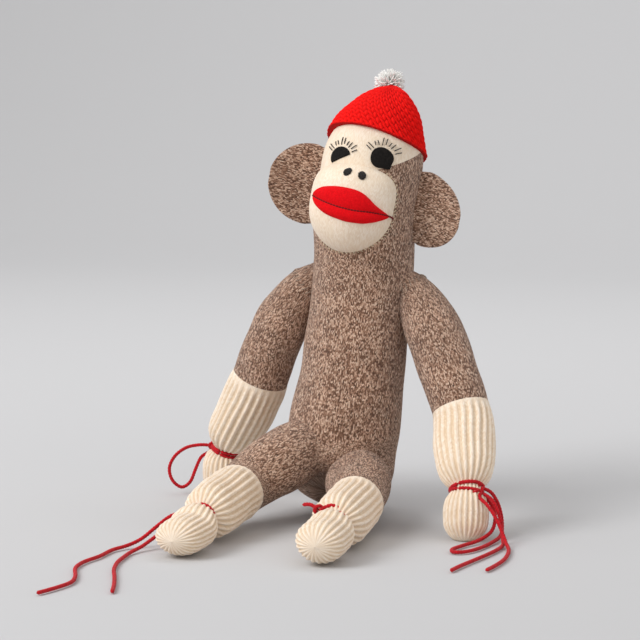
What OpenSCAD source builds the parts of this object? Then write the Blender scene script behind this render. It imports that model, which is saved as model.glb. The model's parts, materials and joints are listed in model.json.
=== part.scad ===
// Seated sock doll of a monkey: one knitted sock skin per limb segment over a
// soft filling, felt features, a knitted cap and yarn ties.
// It sits on Z = 0 and faces -Y. Its own left side is +X.

/* [Body] */
// Radius of the torso at the belly
torso_r = 41.5; // [40:0.5:43]
// Thickness of the knitted fabric
skin = 1.8; // [1.4:0.1:2.2]
// Space left between the fabric and its filling
fill_gap = 0.3; // [0.2:0.1:0.5]

/* [Head] */
// Radius of the head seen from above
head_r = 40; // [38:0.5:41]
// Height of the head above the point it nods about
head_h = 80; // [78:1:82]
// Radius of the muzzle seen from above
muzzle_r = 34; // [33:0.5:35]
// Half the height of the muzzle
muzzle_h = 36; // [34:0.5:37]
// Thickness of the felt
felt = 1.4; // [1:0.1:1.6]
// Radius of the pompom
pompom_r = 12.5; // [11:0.5:13]
// Radius of one ear
ear_r = 34; // [32:0.5:35]

/* [Limbs] */
// Radius of the sleeve
sleeve_r = 22.5; // [21:0.5:23]
// Radius of the ribbed arm cuff
arm_cuff_r = 22.5; // [21:0.5:23]
// Radius of the hand
hand_r = 16.5; // [15:0.5:17]
// Radius of the thigh
thigh_r = 22; // [20:0.5:22]
// Radius of the ribbed leg cuff
leg_cuff_r = 22; // [20:0.5:22]
// Radius of the foot
foot_r = 20; // [18:0.5:20]
// Radius of the tail
tail_r = 11; // [9:0.5:12]

/* [Yarn] */
// Diameter of the tie yarn
yarn_d = 3; // [2.5:0.25:3.5]

/* [Hidden] */

marl = "tan";
cream = "antiquewhite";
red = "crimson";
filling = "ghostwhite";

// The torso leans back and a little to the doll's left.
torso_base = [0, -14, 0];
torso_top = [13.6, 13, 195];
torso_len = norm(torso_top - torso_base);
neck_len = 16;

// The head turns with the neck and nods about the middle of its round base.
head_pivot = [14, 12, 243];
head_tilt = [-11, 7.5, 0];
muzzle_at = [-3, -27, -2];
ear_x = 45;
ear_z = 12;
ear_t = 13;
head_full = 34;
crown_z = 41;
crown_tilt = [13, 0, 0];
brim_z = 51.5;
brim_tilt = [-17, 6, 0];
nod_limit = 16;
cap_t = 4;

// Joint centres, left and right. A limb runs from one to the next.
shoulder = [[57.5, 8, 180], [-36, 9, 182]];
elbow = [[106, -32, 86], [-80, 26, 97]];
wrist = [[119, -74, 38], [-114, 45, 39]];
hand_end = [[121, -86, -2], [-121, 47, -2]];
hip = [[23.5, -36, 24], [-23, -36, 24]];
knee = [[36, -92, 24], [-58, -84, 24]];
ankle = [[40, -164, 23], [-64, -164, 23]];
foot_end = [[41, -218, 20], [-68, -218, 20]];
tail_root = [-4, 35, 13];
tail_end = [-62, 206, 11.5];
tail_seam = 0.72;

// How far each round end stays back from the joint it bends about.
shoulder_gap = 3.6;
elbow_gap = 5;
wrist_gap = 6;
knee_gap = 5.2;
ankle_gap = 6;
sleeve_top_r = 15;
neck_r = 8;
lap_r = thigh_r + 0.8;
lap_slope = 14;

function unit(v) = v / norm(v);
function arc(r, z0, a0, a1, n = 8) = [for (i = [0:n])
    let (a = a0 + (a1 - a0) * i / n) [r * cos(a), z0 + r * sin(a)]];
function half_ellipse(r, h, a0, a1, n) = [for (i = [0:n])
    let (a = a0 + (a1 - a0) * i / n) [r * cos(a), h * sin(a)]];

// Places a child drawn along +Z so that it runs from a towards b.
module along(a, b) {
    v = b - a;
    translate(a) rotate([0, acos(v[2] / norm(v)), atan2(v[1], v[0])]) children();
}

// ---- torso, neck and tail ----

module lap_cut(inset) {
    h = hip[0];
    r = lap_r + inset;
    k = r * tan(22.5);
    far = 70;
    // The prism runs along X: its outline is the space the thighs swing in.
    rotate([90, 0, 90]) linear_extrude(200, center = true) polygon([
        [h[1] + r, -20], [h[1] + r, h[2] + k], [h[1] + k, h[2] + r],
        [h[1] - far, h[2] + r + far * tan(lap_slope)], [h[1] - far, -20]]);
}

module torso_solid(inset, top) {
    r = torso_r - inset;
    difference() {
        along(torso_base, torso_top) rotate_extrude($fn = 96) polygon([
            [0, inset - 10], [r - 8, inset - 10], [r - 2, 0], [r + 2, 14], [r + 3.5, 40], [r + 2.5, 70],
            [r, 105], [r - 1.5, 130], [r - 2.5, 155], [r - 4.5, 172], [r - 7.5, 185],
            [r - 11, top], [0, top]]);
        translate([-100, -100, inset - 60]) cube([200, 200, 60]);
        lap_cut(inset);
    }
}

module torso_sock() {
    color(marl) difference() {
        torso_solid(0, torso_len);
        torso_solid(skin, torso_len + 5);
    }
}

module torso_stuffing() {
    color(filling) torso_solid(skin + fill_gap, torso_len);
}

// The neck stops short of the round base of the head and of the muzzle's sweep.
module neck_solid(r_in, r_out) {
    difference() {
        along(torso_top, 2 * torso_top - torso_base) translate([0, 0, 0.5])
            rotate_extrude($fn = 96) translate([r_in, 0]) square([r_out - r_in, neck_len]);
        translate(head_pivot) sphere(head_r + 0.4, $fn = 96);
        for (nod = [-nod_limit:nod_limit / 2:nod_limit])
            on_head() rotate([nod, 0, 0]) muzzle_solid(1.2);
    }
}

module neck_sock() {
    color(marl) neck_solid(29.2, 31);
}

module neck_stuffing() {
    color(filling) neck_solid(0, 28.9);
}

tail_len = norm(tail_end - tail_root);

module tail_part(r, z0, z1, inner) {
    along(tail_root, tail_end) rotate_extrude($fn = 64) difference() {
        polygon(concat([[0, z0]], z0 < tail_r + 2 ? arc(r, z0 + r, -90, 0) : [[r, z0]],
            z1 > tail_len - 1 ? arc(r * 0.8, z1 - r * 0.8, 0, 90) : [[r, z1]], [[0, z1]]));
        if (inner > 0) translate([-1, 0]) square([inner + 1, tail_len]);
    }
}

module tail_sock() {
    color(marl) tail_part(tail_r, 1, tail_len * tail_seam, tail_r - skin - 1);
}

module tail_tip() {
    color(cream) tail_part(tail_r, tail_len * tail_seam + 0.2, tail_len, tail_r - skin - 1);
}

module tail_stuffing() {
    r = tail_r - skin - 1 - fill_gap;
    color(filling) along(tail_root, tail_end) translate([0, 0, 8]) cylinder(tail_len - 16, r, r, $fn = 64);
}

// ---- head ----

module on_head() {
    translate(head_pivot) rotate(head_tilt) children();
}

// The head is round below its pivot, straight up to head_full and domed above it.
module head_solid(inset) {
    r = head_r - inset;
    rotate_extrude($fn = 96) polygon(concat([[0, 0]], [[0, -r]], arc(r, 0, -80, 0, 8),
        [for (i = [0:14]) let (a = i * 6) [r * cos(a), head_full + (head_h - head_full - inset) * sin(a)]],
        [[0, head_h - inset]]));
}

module muzzle_solid(grow) {
    translate(muzzle_at) rotate_extrude($fn = 96) polygon(concat(
        [for (i = [0:15]) let (a = -90 + i * 12) [i == 0 || i == 15 ? 0 : (muzzle_r + grow) * cos(a),
            (muzzle_h + grow) * sin(a)]]));
}

module above(z, tilt) {
    translate([0, 0, z]) rotate(tilt) translate([-100, -100, 0]) cube([200, 200, 200]);
}

module head_sock() {
    color(marl) on_head() difference() {
        head_solid(0);
        head_solid(skin);
        above(crown_z, crown_tilt);
        translate([0, 0, -60]) cylinder(50, 18, 18, $fn = 64);
    }
}

module head_crown() {
    color(cream) on_head() intersection() {
        difference() {
            head_solid(0);
            head_solid(skin);
        }
        above(crown_z + 0.2, crown_tilt);
    }
}

module head_stuffing() {
    color(filling) on_head() head_solid(skin + fill_gap);
}

module muzzle() {
    color(cream) on_head() difference() {
        muzzle_solid(0);
        muzzle_solid(-skin);
        head_solid(-0.3);
    }
}

module muzzle_stuffing() {
    color(filling) on_head() difference() {
        muzzle_solid(-skin - fill_gap);
        head_solid(-0.3);
    }
}

// A felt or thread shape lies in a thin shell over the muzzle or the head.
module on_muzzle_face(low, high) {
    intersection() {
        difference() {
            muzzle_solid(high);
            muzzle_solid(low);
        }
        translate([0, -30, 0]) rotate([90, 0, 0]) linear_extrude(60) children();
    }
}

module on_head_face(low, high) {
    intersection() {
        difference() {
            head_solid(-high);
            head_solid(-low);
            muzzle_solid(0.2);
        }
        translate([0, -8, 0]) rotate([90, 0, 0]) linear_extrude(60) children();
    }
}

// The edges of the lips and their line, as angles round the muzzle and heights.
lip_edge = [[-53, 1.7], [-45, 5], [-30, 7.6], [-4, 9.4], [12, 9], [24, 7], [39, 2], [58, -1], [76, -4.5],
    [66, -10], [56, -13], [29, -18.7], [12, -19], [-4, -17.4], [-20, -14], [-38, -7.5]];
lip_line = [[-50, 1], [-23, -4], [0, -7.1], [17, -8], [40, -6], [66, -4.7], [80, -4.4]];
function round_muzzle(p) = [muzzle_at[0] + muzzle_r * sin(p[0]), p[1]];
eye_at = [[15.9, 39.9], [-17.3, 36.9]];
eye_r = [8.6, 7.4];
nostril_at = [[7.2, 19.8], [-4.5, 20.9]];

module lips() {
    color(red) on_head() on_muzzle_face(0.1, felt) polygon([for (p = lip_edge) round_muzzle(p)]);
}

module mouth_line() {
    color("darkred") on_head() on_muzzle_face(felt + 0.1, felt + 1)
        for (i = [0:len(lip_line) - 2]) hull() {
            translate(round_muzzle(lip_line[i])) circle(0.6, $fn = 16);
            translate(round_muzzle(lip_line[i + 1])) circle(0.6, $fn = 16);
        }
}

module eyes() {
    color("black") on_head() on_head_face(0.1, felt) {
        // The doll's left eye is round with one low outer corner.
        translate(eye_at[0]) {
            circle(eye_r[0], $fn = 64);
            rotate(-90) square([eye_r[0], eye_r[0]]);
        }
        // Its right eye is a half round, cut slanting.
        translate(eye_at[1]) rotate(30) intersection() {
            circle(eye_r[1], $fn = 64);
            translate([0, eye_r[1] * 0.65]) square([3 * eye_r[1], 2 * eye_r[1]], center = true);
        }
    }
}

module eyelashes() {
    color("black") on_head() on_head_face(0.1, 0.9)
        for (side = [0, 1], i = [0:7])
            translate(eye_at[side]) rotate(-62 + i * 124 / 7)
                translate([0, eye_r[side] + 2]) translate([-0.4, 0]) square([0.8, 5]);
}

module nostrils() {
    color("black") on_head() on_muzzle_face(0.1, 1.2)
        for (p = nostril_at) translate(p) scale([0.75, 1]) circle(3.4, $fn = 48);
}

module cap() {
    r = head_r + cap_t;
    color(red) on_head() intersection() {
        rotate_extrude($fn = 96) polygon(concat(
            [[r, 0], [r, head_full], [r - 2, 54], [r - 6, 66], [r - 13, 77], [r - 20, 85], [r - 30, 92], [0, 92]],
            [for (i = [15:-1:0]) let (a = i * 6) [i == 15 ? 0 : (head_r + 0.4) * cos(a),
                head_full + (head_h - head_full + 0.4) * sin(a)]],
            [[head_r + 0.4, 0]]));
        above(brim_z, brim_tilt);
    }
}

module pompom() {
    color("white") on_head() translate([0, 0, 92.2 + pompom_r]) sphere(pompom_r, $fn = 64);
}

// A cupped half-moon with its straight edge beside the head.
module ear(side) {
    color(marl) on_head() intersection() {
        translate([side * ear_x, 2, ear_z]) rotate([90, 0, 0]) difference() {
            rotate_extrude($fn = 96) polygon(concat([[0, -ear_t / 2]],
                [for (i = [0:8]) let (a = -90 + i * 22.5)
                    [ear_r - ear_t / 2 + ear_t / 2 * cos(a), ear_t / 2 * sin(a)]],
                [[0, ear_t / 2]]));
            translate([side * 14, 0, 48]) sphere(44, $fn = 96);
        }
        translate([side > 0 ? ear_x : -ear_x - 60, -50, -60]) cube([60, 100, 140]);
    }
}
module ear_left() { ear(1); }
module ear_right() { ear(-1); }

// ---- limbs ----

// One stuffed segment: z0 and z1 are its ends, r0 and r1 the radii of its
// round ends, and r its radius between them.
module segment(a, b, g0, g1, r0, r, r1, inset) {
    length = norm(b - a);
    z0 = g0 + inset;
    z1 = length - g1 - inset;
    along(a, b) rotate_extrude($fn = 96) polygon(concat(
        [[0, z0]], arc(r0 - inset, z0 + r0 - inset, -78, 0, 7),
        r > r0 + 1 ? [[(r + r0) / 2 - inset + 1, z0 + r0 + 8], [r - inset, z0 + r0 + 24]] : [],
        arc(r1 - inset, z1 - r1 + inset, 0, 78, 7), [[0, z1]]));
}

// The fabric of a segment is open at its far end, where it is sewn to the next.
module segment_skin(a, b, g0, g1, r0, r, r1) {
    length = norm(b - a);
    difference() {
        segment(a, b, g0, g1, r0, r, r1, 0);
        segment(a, b, g0, g1, r0, r, r1, skin);
        along(a, b) translate([0, 0, length - g1 - 12]) cylinder(20, 6, 6, $fn = 48);
    }
}

module segment_fill(a, b, g0, g1, r0, r, r1) {
    segment(a, b, g0, g1, r0, r, r1, skin + fill_gap);
}

module shoulder_seam(i) {
    color(marl) along(shoulder[i], elbow[i]) rotate_extrude($fn = 48) translate([3, 0]) circle(0.7, $fn = 24);
}
module shoulder_seam_left() { shoulder_seam(0); }
module shoulder_seam_right() { shoulder_seam(1); }

module sleeve_left() { color(marl) segment_skin(shoulder[0], elbow[0], shoulder_gap, elbow_gap, sleeve_top_r, sleeve_r, sleeve_r); }
module sleeve_right() { color(marl) segment_skin(shoulder[1], elbow[1], shoulder_gap, elbow_gap, sleeve_top_r, sleeve_r, sleeve_r); }
module sleeve_stuffing_left() { color(filling) segment_fill(shoulder[0], elbow[0], shoulder_gap, elbow_gap, sleeve_top_r, sleeve_r, sleeve_r); }
module sleeve_stuffing_right() { color(filling) segment_fill(shoulder[1], elbow[1], shoulder_gap, elbow_gap, sleeve_top_r, sleeve_r, sleeve_r); }

module arm_cuff_left() { color(cream) segment_skin(elbow[0], wrist[0], elbow_gap, wrist_gap, arm_cuff_r, arm_cuff_r, arm_cuff_r); }
module arm_cuff_right() { color(cream) segment_skin(elbow[1], wrist[1], elbow_gap, wrist_gap, arm_cuff_r, arm_cuff_r, arm_cuff_r); }
module arm_cuff_stuffing_left() { color(filling) segment_fill(elbow[0], wrist[0], elbow_gap, wrist_gap, arm_cuff_r, arm_cuff_r, arm_cuff_r); }
module arm_cuff_stuffing_right() { color(filling) segment_fill(elbow[1], wrist[1], elbow_gap, wrist_gap, arm_cuff_r, arm_cuff_r, arm_cuff_r); }

// A hand or a foot starts as a gathered neck inside its tie.
module end_ball(a, b, g, r, inset) {
    length = norm(b - a);
    z1 = length - inset;
    along(a, b) rotate_extrude($fn = 96) polygon(concat(
        [[0, inset - 1.5], [neck_r - inset, inset - 1.5], [neck_r - inset, g + inset]],
        [for (t = [20:20:80]) [neck_r - inset + (r - neck_r) * sin(t), g + inset + r * 0.7 * (1 - cos(t))]],
        arc(r - inset, z1 - r + inset, 0, 78, 7), [[0, z1]]));
}

module ball_skin(a, b, g, r) {
    difference() {
        end_ball(a, b, g, r, 0);
        end_ball(a, b, g, r, skin);
        along(a, b) translate([0, 0, -5]) cylinder(10, neck_r - skin - 1, neck_r - skin - 1, $fn = 48);
    }
}

module hand_left() { color(cream) ball_skin(wrist[0], hand_end[0], wrist_gap, hand_r); }
module hand_right() { color(cream) ball_skin(wrist[1], hand_end[1], wrist_gap, hand_r); }
module hand_stuffing_left() { color(filling) end_ball(wrist[0], hand_end[0], wrist_gap, hand_r, skin + fill_gap); }
module hand_stuffing_right() { color(filling) end_ball(wrist[1], hand_end[1], wrist_gap, hand_r, skin + fill_gap); }

// Two turns of yarn round a gathered neck.
module tie(a, b) {
    color(red) along(a, b) for (z = [1.6, 4.8]) translate([0, 0, z])
        rotate_extrude($fn = 64) translate([neck_r + yarn_d / 2 + 0.1, 0]) circle(yarn_d / 2, $fn = 32);
}

module wrist_tie_left() { tie(wrist[0], hand_end[0]); }
module wrist_tie_right() { tie(wrist[1], hand_end[1]); }

module thigh_left() { color(marl) segment_skin(hip[0], knee[0], -thigh_r, knee_gap, thigh_r, thigh_r, thigh_r); }
module thigh_right() { color(marl) segment_skin(hip[1], knee[1], -thigh_r, knee_gap, thigh_r, thigh_r, thigh_r); }
module thigh_stuffing_left() { color(filling) segment_fill(hip[0], knee[0], -thigh_r, knee_gap, thigh_r, thigh_r, thigh_r); }
module thigh_stuffing_right() { color(filling) segment_fill(hip[1], knee[1], -thigh_r, knee_gap, thigh_r, thigh_r, thigh_r); }

module leg_cuff_left() { color(cream) segment_skin(knee[0], ankle[0], knee_gap, ankle_gap, leg_cuff_r, leg_cuff_r, leg_cuff_r); }
module leg_cuff_right() { color(cream) segment_skin(knee[1], ankle[1], knee_gap, ankle_gap, leg_cuff_r, leg_cuff_r, leg_cuff_r); }
module leg_cuff_stuffing_left() { color(filling) segment_fill(knee[0], ankle[0], knee_gap, ankle_gap, leg_cuff_r, leg_cuff_r, leg_cuff_r); }
module leg_cuff_stuffing_right() { color(filling) segment_fill(knee[1], ankle[1], knee_gap, ankle_gap, leg_cuff_r, leg_cuff_r, leg_cuff_r); }

module foot_left() { color(cream) ball_skin(ankle[0], foot_end[0], ankle_gap, foot_r); }
module foot_right() { color(cream) ball_skin(ankle[1], foot_end[1], ankle_gap, foot_r); }
module foot_stuffing_left() { color(filling) end_ball(ankle[0], foot_end[0], ankle_gap, foot_r, skin + fill_gap); }
module foot_stuffing_right() { color(filling) end_ball(ankle[1], foot_end[1], ankle_gap, foot_r, skin + fill_gap); }

module ankle_tie_left() { tie(ankle[0], foot_end[0]); }
module ankle_tie_right() { tie(ankle[1], foot_end[1]); }

// ---- free yarn ----

// Points chosen along each free end, from its tie outwards.
loop_left = [[132, -75, 39], [138, -71, 35], [143, -68, 25], [146, -69, 13], [147, -78, 4],
    [144, -98, 2], [139, -120, 2], [132, -134, 2], [124, -137, 2], [121, -128, 2],
    [126, -112, 2], [134, -96, 3], [141, -83, 8], [142, -76, 18], [138, -75, 28], [132, -76, 34]];
tail_left_a = [[133, -80, 36], [141, -81, 31], [147, -84, 20], [150, -88, 10], [152, -94, 4],
    [154, -104, 2], [153, -122, 2], [149, -142, 2], [144, -162, 2], [139, -182, 2], [136, -198, 2]];
tail_left_b = [[131, -85, 34], [139, -90, 29], [147, -95, 20], [153, -100, 10], [157, -106, 4],
    [161, -116, 2], [164, -134, 2], [165, -154, 2], [163, -174, 2], [160, -190, 2]];
loop_right = [[-127, 43, 40], [-135, 39, 41], [-146, 34, 39], [-155, 30, 32], [-159, 27, 22],
    [-156, 26, 12], [-149, 29, 6], [-143, 34, 10], [-140, 39, 20], [-136, 43, 30], [-128, 46, 35]];
tail_right_a = [[-78, -166, 26], [-87, -169, 23], [-97, -173, 15], [-106, -179, 7], [-114, -187, 3],
    [-121, -202, 2], [-122, -224, 2], [-126, -246, 2], [-124, -266, 2], [-115, -288, 2],
    [-110, -308, 2], [-114, -328, 2], [-120, -345, 2]];
tail_right_b = [[-78, -167, 20], [-87, -173, 15], [-95, -181, 9], [-101, -192, 4], [-105, -206, 2],
    [-104, -222, 2], [-102, -240, 2], [-96, -262, 2], [-87, -284, 2], [-78, -308, 2], [-72, -327, 2]];

smooth_steps = 3;
function spline(p, i, t) = let (
    a = p[max(i - 1, 0)], b = p[i], c = p[i + 1], d = p[min(i + 2, len(p) - 1)])
    0.5 * (2 * b + (c - a) * t + (2 * a - 5 * b + 4 * c - d) * t * t
        + (3 * b - a - 3 * c + d) * t * t * t);
// No point of a yarn's centreline lies lower than its radius.
function rested(q) = [q[0], q[1], max(q[2], yarn_d / 2 + 0.2)];
function smooth(p) = concat([for (i = [0:len(p) - 2], k = [0:smooth_steps - 1])
    rested(spline(p, i, k / smooth_steps))], [p[len(p) - 1]]);
function heading(p, i) = unit(p[min(i + 1, len(p) - 1)] - p[max(i - 1, 0)]);
// Each ring's first direction is the last one's, turned as little as possible.
function rings(p, i, n) = i == len(p) ? [] : let (
    t = heading(p, i), flat = unit(n - (n * t) * t)) concat([[t, flat]], rings(p, i + 1, flat));

module cord(points) {
    p = smooth(points);
    frames = rings(p, 0, [0.1, 0.2, 1]);
    sides = 8;
    n = len(p);
    color(red) polyhedron(
        points = [for (i = [0:n - 1], k = [0:sides - 1]) let (a = 360 * k / sides)
            p[i] + yarn_d / 2 * (cos(a) * frames[i][1] + sin(a) * cross(frames[i][0], frames[i][1]))],
        faces = concat([[for (k = [sides - 1:-1:0]) k]], [[for (k = [0:sides - 1]) (n - 1) * sides + k]],
            [for (i = [0:n - 2], k = [0:sides - 1]) let (j = (k + 1) % sides)
                [i * sides + k, i * sides + j, (i + 1) * sides + j, (i + 1) * sides + k]]));
}

module wrist_left_loop() { cord(loop_left); }
module wrist_left_tail_a() { cord(tail_left_a); }
module wrist_left_tail_b() { cord(tail_left_b); }
module wrist_right_loop() { cord(loop_right); }
module ankle_right_tail_a() { cord(tail_right_a); }
module ankle_right_tail_b() { cord(tail_right_b); }

torso_sock();
torso_stuffing();
neck_sock();
neck_stuffing();
head_sock();
head_crown();
head_stuffing();
muzzle();
muzzle_stuffing();
lips();
mouth_line();
eyes();
eyelashes();
nostrils();
cap();
pompom();
ear_left();
ear_right();
shoulder_seam_left();
shoulder_seam_right();
sleeve_left();
sleeve_right();
sleeve_stuffing_left();
sleeve_stuffing_right();
arm_cuff_left();
arm_cuff_right();
arm_cuff_stuffing_left();
arm_cuff_stuffing_right();
hand_left();
hand_right();
hand_stuffing_left();
hand_stuffing_right();
wrist_tie_left();
wrist_tie_right();
thigh_left();
thigh_right();
thigh_stuffing_left();
thigh_stuffing_right();
leg_cuff_left();
leg_cuff_right();
leg_cuff_stuffing_left();
leg_cuff_stuffing_right();
foot_left();
foot_right();
foot_stuffing_left();
foot_stuffing_right();
ankle_tie_left();
ankle_tie_right();
tail_sock();
tail_tip();
tail_stuffing();
wrist_left_loop();
wrist_left_tail_a();
wrist_left_tail_b();
wrist_right_loop();
ankle_right_tail_a();
ankle_right_tail_b();
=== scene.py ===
"""A seated monkey doll sewn from marl and cream socks, with felt features, a knitted cap and yarn ties."""

import contextlib
import json
import math
import random

import bmesh
import bpy
import numpy as np
from mathutils import Matrix, Vector, noise


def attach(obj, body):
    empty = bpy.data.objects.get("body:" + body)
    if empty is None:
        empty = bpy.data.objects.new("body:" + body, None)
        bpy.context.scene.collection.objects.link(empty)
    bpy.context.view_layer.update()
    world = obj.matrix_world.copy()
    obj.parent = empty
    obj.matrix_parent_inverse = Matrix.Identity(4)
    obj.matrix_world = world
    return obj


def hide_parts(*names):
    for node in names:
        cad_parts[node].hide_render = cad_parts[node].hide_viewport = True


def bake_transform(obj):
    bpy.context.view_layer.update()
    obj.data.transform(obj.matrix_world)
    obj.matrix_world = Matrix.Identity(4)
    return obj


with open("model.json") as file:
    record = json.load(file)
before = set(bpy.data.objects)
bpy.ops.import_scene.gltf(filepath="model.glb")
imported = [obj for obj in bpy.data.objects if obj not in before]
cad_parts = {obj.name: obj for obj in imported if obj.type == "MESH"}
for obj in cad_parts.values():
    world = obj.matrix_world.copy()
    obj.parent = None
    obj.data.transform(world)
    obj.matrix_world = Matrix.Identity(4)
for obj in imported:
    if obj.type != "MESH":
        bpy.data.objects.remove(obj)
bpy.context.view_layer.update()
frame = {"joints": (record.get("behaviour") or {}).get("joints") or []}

MM = 0.001
TAU = 2 * math.pi
JOINTS = {joint["name"]: joint for joint in frame["joints"]}
SIDES = ("left", "right")


def pivot(name):
    """A joint's centre, in millimetres."""
    return np.array(JOINTS[name]["pos_m"], float) * 1000


def towards(a, b):
    d = np.asarray(b, float) - np.asarray(a, float)
    return d / np.linalg.norm(d)


# -------- camera

def make_camera():
    camera = bpy.data.objects.new("camera", bpy.data.cameras.new("camera"))
    bpy.context.scene.collection.objects.link(camera)
    bpy.context.scene.camera = camera
    camera.location = Vector((505, -1788, 372)) * MM
    aim = Vector((3, -76, 164)) * MM
    camera.rotation_euler = (aim - camera.location).to_track_quat("-Z", "Y").to_euler()
    camera.data.sensor_width = 36
    camera.data.lens = 131
    camera.data.clip_end = 30


make_camera()


# -------- materials

class Nodes:
    """Short calls for building one material's node tree."""

    def __init__(self, name):
        self.material = bpy.data.materials.new(name)
        self.material.use_nodes = True
        self.tree = self.material.node_tree
        self.shader = self.tree.nodes["Principled BSDF"]

    def new(self, kind, **settings):
        node = self.tree.nodes.new(kind)
        for key, value in settings.items():
            setattr(node, key, value)
        return node

    def link(self, source, target):
        self.tree.links.new(source, target)

    def put(self, value, socket):
        if isinstance(value, bpy.types.NodeSocket):
            self.link(value, socket)
        else:
            socket.default_value = value

    def math(self, operation, a, b=0.0, c=0.0, clamp=False):
        node = self.new("ShaderNodeMath", operation=operation, use_clamp=clamp)
        for value, socket in zip((a, b, c), node.inputs):
            self.put(value, socket)
        return node.outputs[0]

    def vector(self, x, y, z=0.0):
        node = self.new("ShaderNodeCombineXYZ")
        for value, socket in zip((x, y, z), node.inputs):
            self.put(value, socket)
        return node.outputs[0]

    def mix(self, factor, a, b, blend="MIX"):
        node = self.new("ShaderNodeMix", data_type="RGBA", blend_type=blend)
        self.put(factor, node.inputs[0])
        self.put(a, node.inputs[6])
        self.put(b, node.inputs[7])
        return node.outputs[2]

    def ramp(self, factor, stops):
        node = self.new("ShaderNodeValToRGB")
        elements = node.color_ramp.elements
        while len(elements) < len(stops):
            elements.new(0.5)
        for element, (place, colour) in zip(elements, stops):
            element.position = place
            element.color = colour
        self.put(factor, node.inputs[0])
        return node.outputs[0]

    def noise(self, scale, detail=3.0, vector=None, rough=0.5):
        node = self.new("ShaderNodeTexNoise")
        node.inputs["Scale"].default_value = scale
        node.inputs["Detail"].default_value = detail
        node.inputs["Roughness"].default_value = rough
        if vector is None:
            vector = self.new("ShaderNodeTexCoord").outputs["Object"]
        self.link(vector, node.inputs["Vector"])
        return node.outputs[0]

    def bump(self, height, distance, strength=1.0, normal=None):
        node = self.new("ShaderNodeBump")
        node.inputs["Distance"].default_value = distance
        node.inputs["Strength"].default_value = strength
        self.put(height, node.inputs["Height"])
        if normal is not None:
            self.link(normal, node.inputs["Normal"])
        return node.outputs[0]

    def finish(self, colour, normal=None, roughness=0.9, sheen=0.25):
        self.put(colour, self.shader.inputs["Base Color"])
        self.shader.inputs["Roughness"].default_value = roughness
        self.shader.inputs["Specular IOR Level"].default_value = 0.2
        self.shader.inputs["Sheen Weight"].default_value = sheen
        self.shader.inputs["Sheen Roughness"].default_value = 0.6
        if normal is not None:
            self.link(normal, self.shader.inputs["Normal"])
        return self.material


def rgb(red, green, blue):
    """A display colour, 0 to 255, as Blender's linear values."""
    def linear(value):
        value /= 255
        return value / 12.92 if value <= 0.04045 else ((value + 0.055) / 1.055) ** 2.4
    return (linear(red), linear(green), linear(blue), 1.0)


def hump(n, value, middle, scale, power):
    """1 where the value is at the middle, and 0 from 1 / scale away from it."""
    away = n.math("ABSOLUTE", n.math("MULTIPLY", n.math("SUBTRACT", value, middle), scale))
    return n.math("SUBTRACT", 1.0, n.math("POWER", away, power), clamp=True)


def stitches(n, slant=1.0):
    """Heights and a random number for each leg of the V stitches. The knit UV map counts stitches."""
    uv = n.new("ShaderNodeUVMap", uv_map="knit").outputs[0]
    split = n.new("ShaderNodeSeparateXYZ")
    n.link(uv, split.inputs[0])
    wobble = n.math("MULTIPLY", n.noise(0.35, 2.0, uv), 0.5)
    x = n.math("ADD", split.outputs[0], wobble)
    y = n.math("ADD", split.outputs[1], wobble)
    column = n.math("FRACT", x)
    arm = n.math("ABSOLUTE", n.math("SUBTRACT", column, 0.5))
    row = n.math("SUBTRACT", y, n.math("MULTIPLY", arm, slant * 2))
    along = n.math("FRACT", row)
    height = n.math("SQRT", n.math("MULTIPLY", hump(n, arm, 0.25, 4.0, 2.2), hump(n, along, 0.5, 2.0, 2.6)))
    leg = n.math("FLOOR", n.math("MULTIPLY", x, 2.0))
    cell = n.new("ShaderNodeTexWhiteNoise", noise_dimensions="2D")
    n.link(n.vector(leg, n.math("FLOOR", row)), cell.inputs["Vector"])
    return height, cell.outputs[0], uv


def finish_knit(n, colour, height, groove_shade, share, depth, fuzz, roughness, sheen):
    """Paints shade into the grooves between stitches, darkening them by a share, and adds the stitches and the
    fuzz as bumps.
    """
    colour = n.mix(share, colour, n.ramp(height, groove_shade), "MULTIPLY")
    fluff = n.bump(n.noise(fuzz[0], 3.0), fuzz[1], fuzz[2])
    return n.finish(colour, n.bump(height, depth[0], depth[1], fluff), roughness, sheen)


def marl_knit():
    n = Nodes("marl_knit")
    height, chance, uv = stitches(n, 0.6)
    ply = n.noise(1.7, 2.0, uv)
    shade = n.math("ADD", n.math("MULTIPLY", chance, 0.5), n.math("MULTIPLY", ply, 0.5))
    colour = n.ramp(shade, [(0.2, rgb(76, 46, 32)), (0.37, rgb(120, 84, 63)), (0.5, rgb(161, 122, 98)),
                            (0.63, rgb(203, 166, 142)), (0.8, rgb(238, 211, 188))])
    patches = n.ramp(n.noise(45, 2.0), [(0.35, (0.92, 0.92, 0.92, 1)), (0.65, (1.08, 1.07, 1.06, 1))])
    colour = n.mix(1.0, colour, patches, "MULTIPLY")
    # Painted shade in the grooves between the stitches.
    groove_shade = [(0.0, (0.5, 0.46, 0.43, 1)), (0.55, (1, 1, 1, 1))]
    return finish_knit(n, colour, height, groove_shade, 0.7, (0.0008, 0.7), (2600, 0.0003, 0.35), 0.95, 0.2)


def cream_knit():
    n = Nodes("cream_knit")
    height, chance, _ = stitches(n)
    tone = n.ramp(chance, [(0.0, rgb(241, 220, 196)), (0.5, rgb(247, 229, 207)), (1.0, rgb(252, 237, 220))])
    soil = n.ramp(n.noise(30, 3.0), [(0.3, (0.96, 0.94, 0.9, 1)), (0.6, (1, 1, 1, 1))])
    colour = n.mix(1.0, tone, soil, "MULTIPLY")
    # Painted shade in the grooves between the stitches.
    groove_shade = [(0.0, (0.8, 0.76, 0.68, 1)), (0.55, (1, 1, 1, 1))]
    return finish_knit(n, colour, height, groove_shade, 0.5, (0.0004, 0.5), (2800, 0.00025, 0.3), 0.92, 0.15)


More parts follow.
